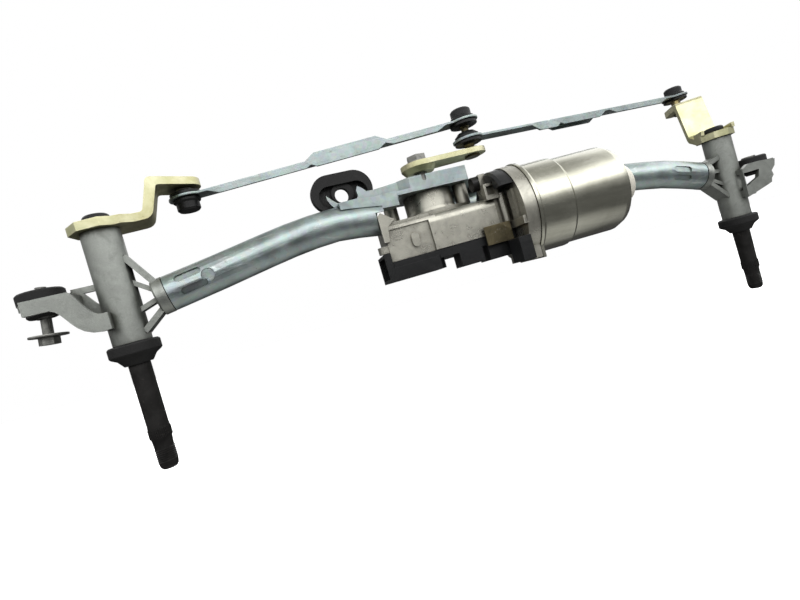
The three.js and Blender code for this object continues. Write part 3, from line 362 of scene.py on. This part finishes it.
def smoothing_group():
    """Shades smooth across every edge flatter than the limit."""
    group = bpy.data.node_groups.new("shade_by_angle", "GeometryNodeTree")
    group.interface.new_socket("Geometry", in_out="INPUT", socket_type="NodeSocketGeometry")
    group.interface.new_socket("Geometry", in_out="OUTPUT", socket_type="NodeSocketGeometry")
    start = group.nodes.new("NodeGroupInput")
    end = group.nodes.new("NodeGroupOutput")
    angle = group.nodes.new("GeometryNodeInputMeshEdgeAngle")
    flat = group.nodes.new("FunctionNodeCompare")
    flat.data_type = "FLOAT"
    flat.operation = "LESS_THAN"
    flat.inputs[1].default_value = SMOOTH_ANGLE
    faces = group.nodes.new("GeometryNodeSetShadeSmooth")
    faces.domain = "FACE"
    edges = group.nodes.new("GeometryNodeSetShadeSmooth")
    edges.domain = "EDGE"
    link = group.links.new
    link(start.outputs[0], faces.inputs["Geometry"])
    link(faces.outputs[0], edges.inputs["Geometry"])
    link(angle.outputs["Unsigned Angle"], flat.inputs[0])
    link(flat.outputs[0], edges.inputs["Shade Smooth"])
    link(edges.outputs[0], end.inputs[0])
    return group


SMOOTHING = smoothing_group()

# Left unrounded: pieces with fine teeth or slots, and a stud and socket that touch.
SHARP_EDGED = {"worm_wheel", "armature_shaft", "terminal_strip", "armature_core",
               "crank_double_ball_stud", "right_rod_crank_socket"}


def dress(name, obj, slot_name):
    """Gives a carried-over solid its material, small rounded edges and even shading."""
    obj.data.materials.clear()
    obj.data.materials.append(FINISHES[slot_name])
    weld = obj.modifiers.new("weld", "WELD")
    weld.merge_threshold = WELD_REACH
    if name not in SHARP_EDGED:
        flatten = obj.modifiers.new("flatten", "DECIMATE")
        flatten.decimate_type = "DISSOLVE"
        flatten.angle_limit = FLAT_ANGLE
        round_off = obj.modifiers.new("round_off", "BEVEL")
        round_off.width = EDGE_RADIUS
        round_off.segments = 2
        round_off.limit_method = "ANGLE"
        round_off.angle_limit = EDGE_ANGLE
        round_off.use_clamp_overlap = True
    shade = obj.modifiers.new("shade", "NODES")
    shade.node_group = SMOOTHING
    level = obj.modifiers.new("level", "WEIGHTED_NORMAL")
    level.keep_sharp = True


for part in RECORD["subparts"]:
    dress(part["node"], frame["nodes"][part["node"]], part["material_slot"])


# ---- extra detail: threads and knurls ----

def upright_at(foot, axis):
    turn = Vector((0, 0, 1)).rotation_difference(Vector(axis))
    return Matrix.Translation(foot) @ turn.to_matrix().to_4x4()


def stitch(mesh, rows):
    """Joins a row of three-cornered sections into one closed ridge."""
    for a, b in zip(rows, rows[1:]):
        for k in range(3):
            mesh.faces.new((a[k], b[k], b[(k + 1) % 3], a[(k + 1) % 3]))
    mesh.faces.new(rows[0])
    mesh.faces.new(rows[-1][::-1])


def new_piece(name, mesh, placed, body, slot_name):
    """Moves a finished bmesh into place and makes it a piece that rides on its body."""
    mesh.transform(placed)
    bmesh.ops.recalc_face_normals(mesh, faces=mesh.faces)
    data = bpy.data.meshes.new(name)
    mesh.to_mesh(data)
    mesh.free()
    obj = bpy.data.objects.new(name, data)
    bpy.context.scene.collection.objects.link(obj)
    data.materials.append(FINISHES[slot_name])
    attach(obj, body)


def thread(name, foot, axis, body, slot_name, radius, length, pitch, height):
    """A screw thread as one ridge wound round a shank, fading out at both ends."""
    mesh = bmesh.new()
    count = int(length / pitch * THREAD_SEGMENTS)
    rows = []
    for i in range(count + 1):
        angle = 2 * math.pi * i / THREAD_SEGMENTS
        z = pitch * i / THREAD_SEGMENTS
        fade = min(1.0, i / THREAD_SEGMENTS * 2, (count - i) / THREAD_SEGMENTS * 2)
        row = []
        for out, shift in ((-THREAD_SINK, -THREAD_FLANK), (height * fade, 0.0), (-THREAD_SINK, THREAD_FLANK)):
            reach = radius + out
            row.append(mesh.verts.new((reach * math.cos(angle), reach * math.sin(angle), z + shift * pitch)))
        rows.append(row)
    stitch(mesh, rows)
    new_piece(name, mesh, upright_at(foot, axis), body, slot_name)


def knurl(name, foot, body, slot_name, radius, length, ridges):
    """Straight ridges round an upright seat."""
    mesh = bmesh.new()
    for i in range(ridges):
        angle = 2 * math.pi * i / ridges
        half = RIDGE_SHARE * math.pi / ridges
        foot_of_ridge = radius - RIDGE_SINK
        section = (
            (foot_of_ridge, angle - half),
            (radius + RIDGE_HEIGHT, angle),
            (foot_of_ridge, angle + half),
        )
        stitch(mesh, [
            [mesh.verts.new((r * math.cos(t), r * math.sin(t), z)) for r, t in section]
            for z in (0, length)
        ])
    new_piece(name, mesh, Matrix.Translation(foot), body, slot_name)


def spindle_detail(side):
    """The thread at a spindle's free end and the knurled seat above it."""
    low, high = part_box(f"{side}_spindle")
    centre = (low + high) / 2
    body = f"{side}_output"
    thread(f"{side}_spindle_thread", Vector((centre.x, centre.y, low.z + SPINDLE_THREAD_RISE)), (0, 0, 1),
           body, "black_steel", **SPINDLE_THREAD)
    knurl(f"{side}_spindle_knurl", Vector((centre.x, centre.y, low.z + SPINDLE_SEAT[side] + KNURL_RISE)),
          body, "black_steel", **KNURL)


def bolt_detail():
    """The thread of the loose bolt, which leans a little in its grommet."""
    low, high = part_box("left_mount_bolt")
    axis = Vector((math.sin(BOLT_LEAN), 0, math.cos(BOLT_LEAN)))
    top = Vector((high.x - BOLT_INSET, (low.y + high.y) / 2, high.z))
    foot = top - axis * BOLT_THREAD_DROP
    thread("left_mount_bolt_thread", foot, axis, "frame", "plain_steel", **BOLT_THREAD)


for side in ("left", "right"):
    spindle_detail(side)
bolt_detail()


# ---- floor, light and camera ----

LOW, HIGH = CAD_BOX
MIDDLE = (LOW + HIGH) / 2
LIGHTS_AIM = (MIDDLE.x, MIDDLE.y, MIDDLE.z + 0.03)

# name, place, width and height, watts
SOFTBOXES = (
    ("ceiling_softbox", (0.30, 0.15, 1.05), (1.5, 0.7), 14),
    ("left_softbox", (-0.95, -0.55, 0.75), (0.7, 0.7), 7),
    ("rear_softbox", (0.75, 0.95, 0.70), (0.9, 0.6), 10),
    ("front_fill", (0.62, -1.20, 0.45), (0.35, 0.9), 3),
)

# What metal reflects, by height: 0 is straight down, 0.5 the horizon and 1 straight up.
STRAIGHT_DOWN = (0.70, 0.70, 0.66, 1)
STRAIGHT_UP = (0.50, 0.50, 0.45, 1)
BANDS = (
    (0.07, 0.60), (0.16, 0.12), (0.44, 0.10), (0.58, 0.35),
    (0.64, 1.3), (0.70, 2.3), (0.84, 2.1), (0.92, 0.6),
)
# Reflections are strongest from this way, and weakest from the opposite one.
BRIGHT_SIDE = (0.35, -0.85, 0.0)
SIDE_RANGE = (-0.9, 0.9, 0.35, 1.5)


def floor():
    place = (MIDDLE.x, MIDDLE.y, LOW.z - FLOOR_DROP)
    bpy.ops.mesh.primitive_plane_add(size=FLOOR_SIZE, location=place)
    ground = bpy.context.object
    ground.name = "floor"
    f = Finish("floor")
    speck = f.noise(3, 3, 0.5)
    f.relief((speck, 0.0002))
    shade = f.blend(speck, (0.90, 0.90, 0.90), (0.93, 0.93, 0.93))
    ground.data.materials.append(f.put(
        shade, 0.85, 0.0, Emission_Color=(1, 1, 1, 1), Emission_Strength=0.55))
    ground.visible_glossy = False
    ground.visible_diffuse = False


def softbox(name, place, size, power):
    """A soft light on the object that doesn't show as a bright patch in its metal."""
    lamp = bpy.data.lights.new(name, "AREA")
    lamp.shape = "RECTANGLE"
    lamp.size, lamp.size_y = size
    lamp.energy = power
    obj = bpy.data.objects.new(name, lamp)
    bpy.context.scene.collection.objects.link(obj)
    obj.location = place
    obj.rotation_euler = (Vector(LIGHTS_AIM) - Vector(place)).to_track_quat("-Z", "Y").to_euler()
    obj.visible_glossy = False


def surroundings():
    """White backdrop for the eye; metal reflects a pale floor, a dark band, a bright band and a ceiling."""
    world = bpy.data.worlds.new("studio")
    bpy.context.scene.world = world
    world.use_nodes = True
    tree = world.node_tree
    link = tree.links.new
    back = tree.nodes["Background"]
    ways = tree.nodes.new("ShaderNodeTexCoord")
    split = tree.nodes.new("ShaderNodeSeparateXYZ")
    height = tree.nodes.new("ShaderNodeMapRange")
    height.inputs["From Min"].default_value = -1
    ramp = tree.nodes.new("ShaderNodeValToRGB")
    stops = ramp.color_ramp.elements
    stops[0].position, stops[0].color = 0.0, STRAIGHT_DOWN
    stops[1].position, stops[1].color = 1.0, STRAIGHT_UP
    for place, shade in BANDS:
        stop = stops.new(place)
        stop.color = (shade, shade, shade, 1)
    facing = tree.nodes.new("ShaderNodeVectorMath")
    facing.operation = "DOT_PRODUCT"
    facing.inputs[1].default_value = BRIGHT_SIDE
    front = tree.nodes.new("ShaderNodeMapRange")
    for key, number in zip(RANGE_SOCKETS, SIDE_RANGE):
        front.inputs[key].default_value = number
    seen = tree.nodes.new("ShaderNodeLightPath")
    plain = tree.nodes.new("ShaderNodeBackground")
    plain.inputs["Color"].default_value = (1, 1, 1, 1)
    plain.inputs["Strength"].default_value = 1.0
    choose = tree.nodes.new("ShaderNodeMixShader")
    link(ways.outputs["Generated"], split.inputs[0])
    link(split.outputs[2], height.inputs["Value"])
    link(height.outputs[0], ramp.inputs[0])
    link(ways.outputs["Generated"], facing.inputs[0])
    link(facing.outputs["Value"], front.inputs["Value"])
    link(front.outputs[0], back.inputs["Strength"])
    link(ramp.outputs[0], back.inputs["Color"])
    link(seen.outputs["Is Camera Ray"], choose.inputs[0])
    link(back.outputs[0], choose.inputs[1])
    link(plain.outputs[0], choose.inputs[2])
    link(choose.outputs[0], tree.nodes["World Output"].inputs["Surface"])


def camera():
    eye = bpy.data.cameras.new("camera")
    eye.lens = LENS
    eye.sensor_width = SENSOR_WIDTH
    eye.clip_start = 0.01
    obj = bpy.data.objects.new("camera", eye)
    bpy.context.scene.collection.objects.link(obj)
    obj.location = CAMERA_AT
    obj.rotation_euler = tuple(math.radians(angle) for angle in CAMERA_TURN)
    bpy.context.scene.camera = obj


floor()
surroundings()
for box in SOFTBOXES:
    softbox(*box)
camera()
bpy.context.scene.view_settings.view_transform = "Standard"
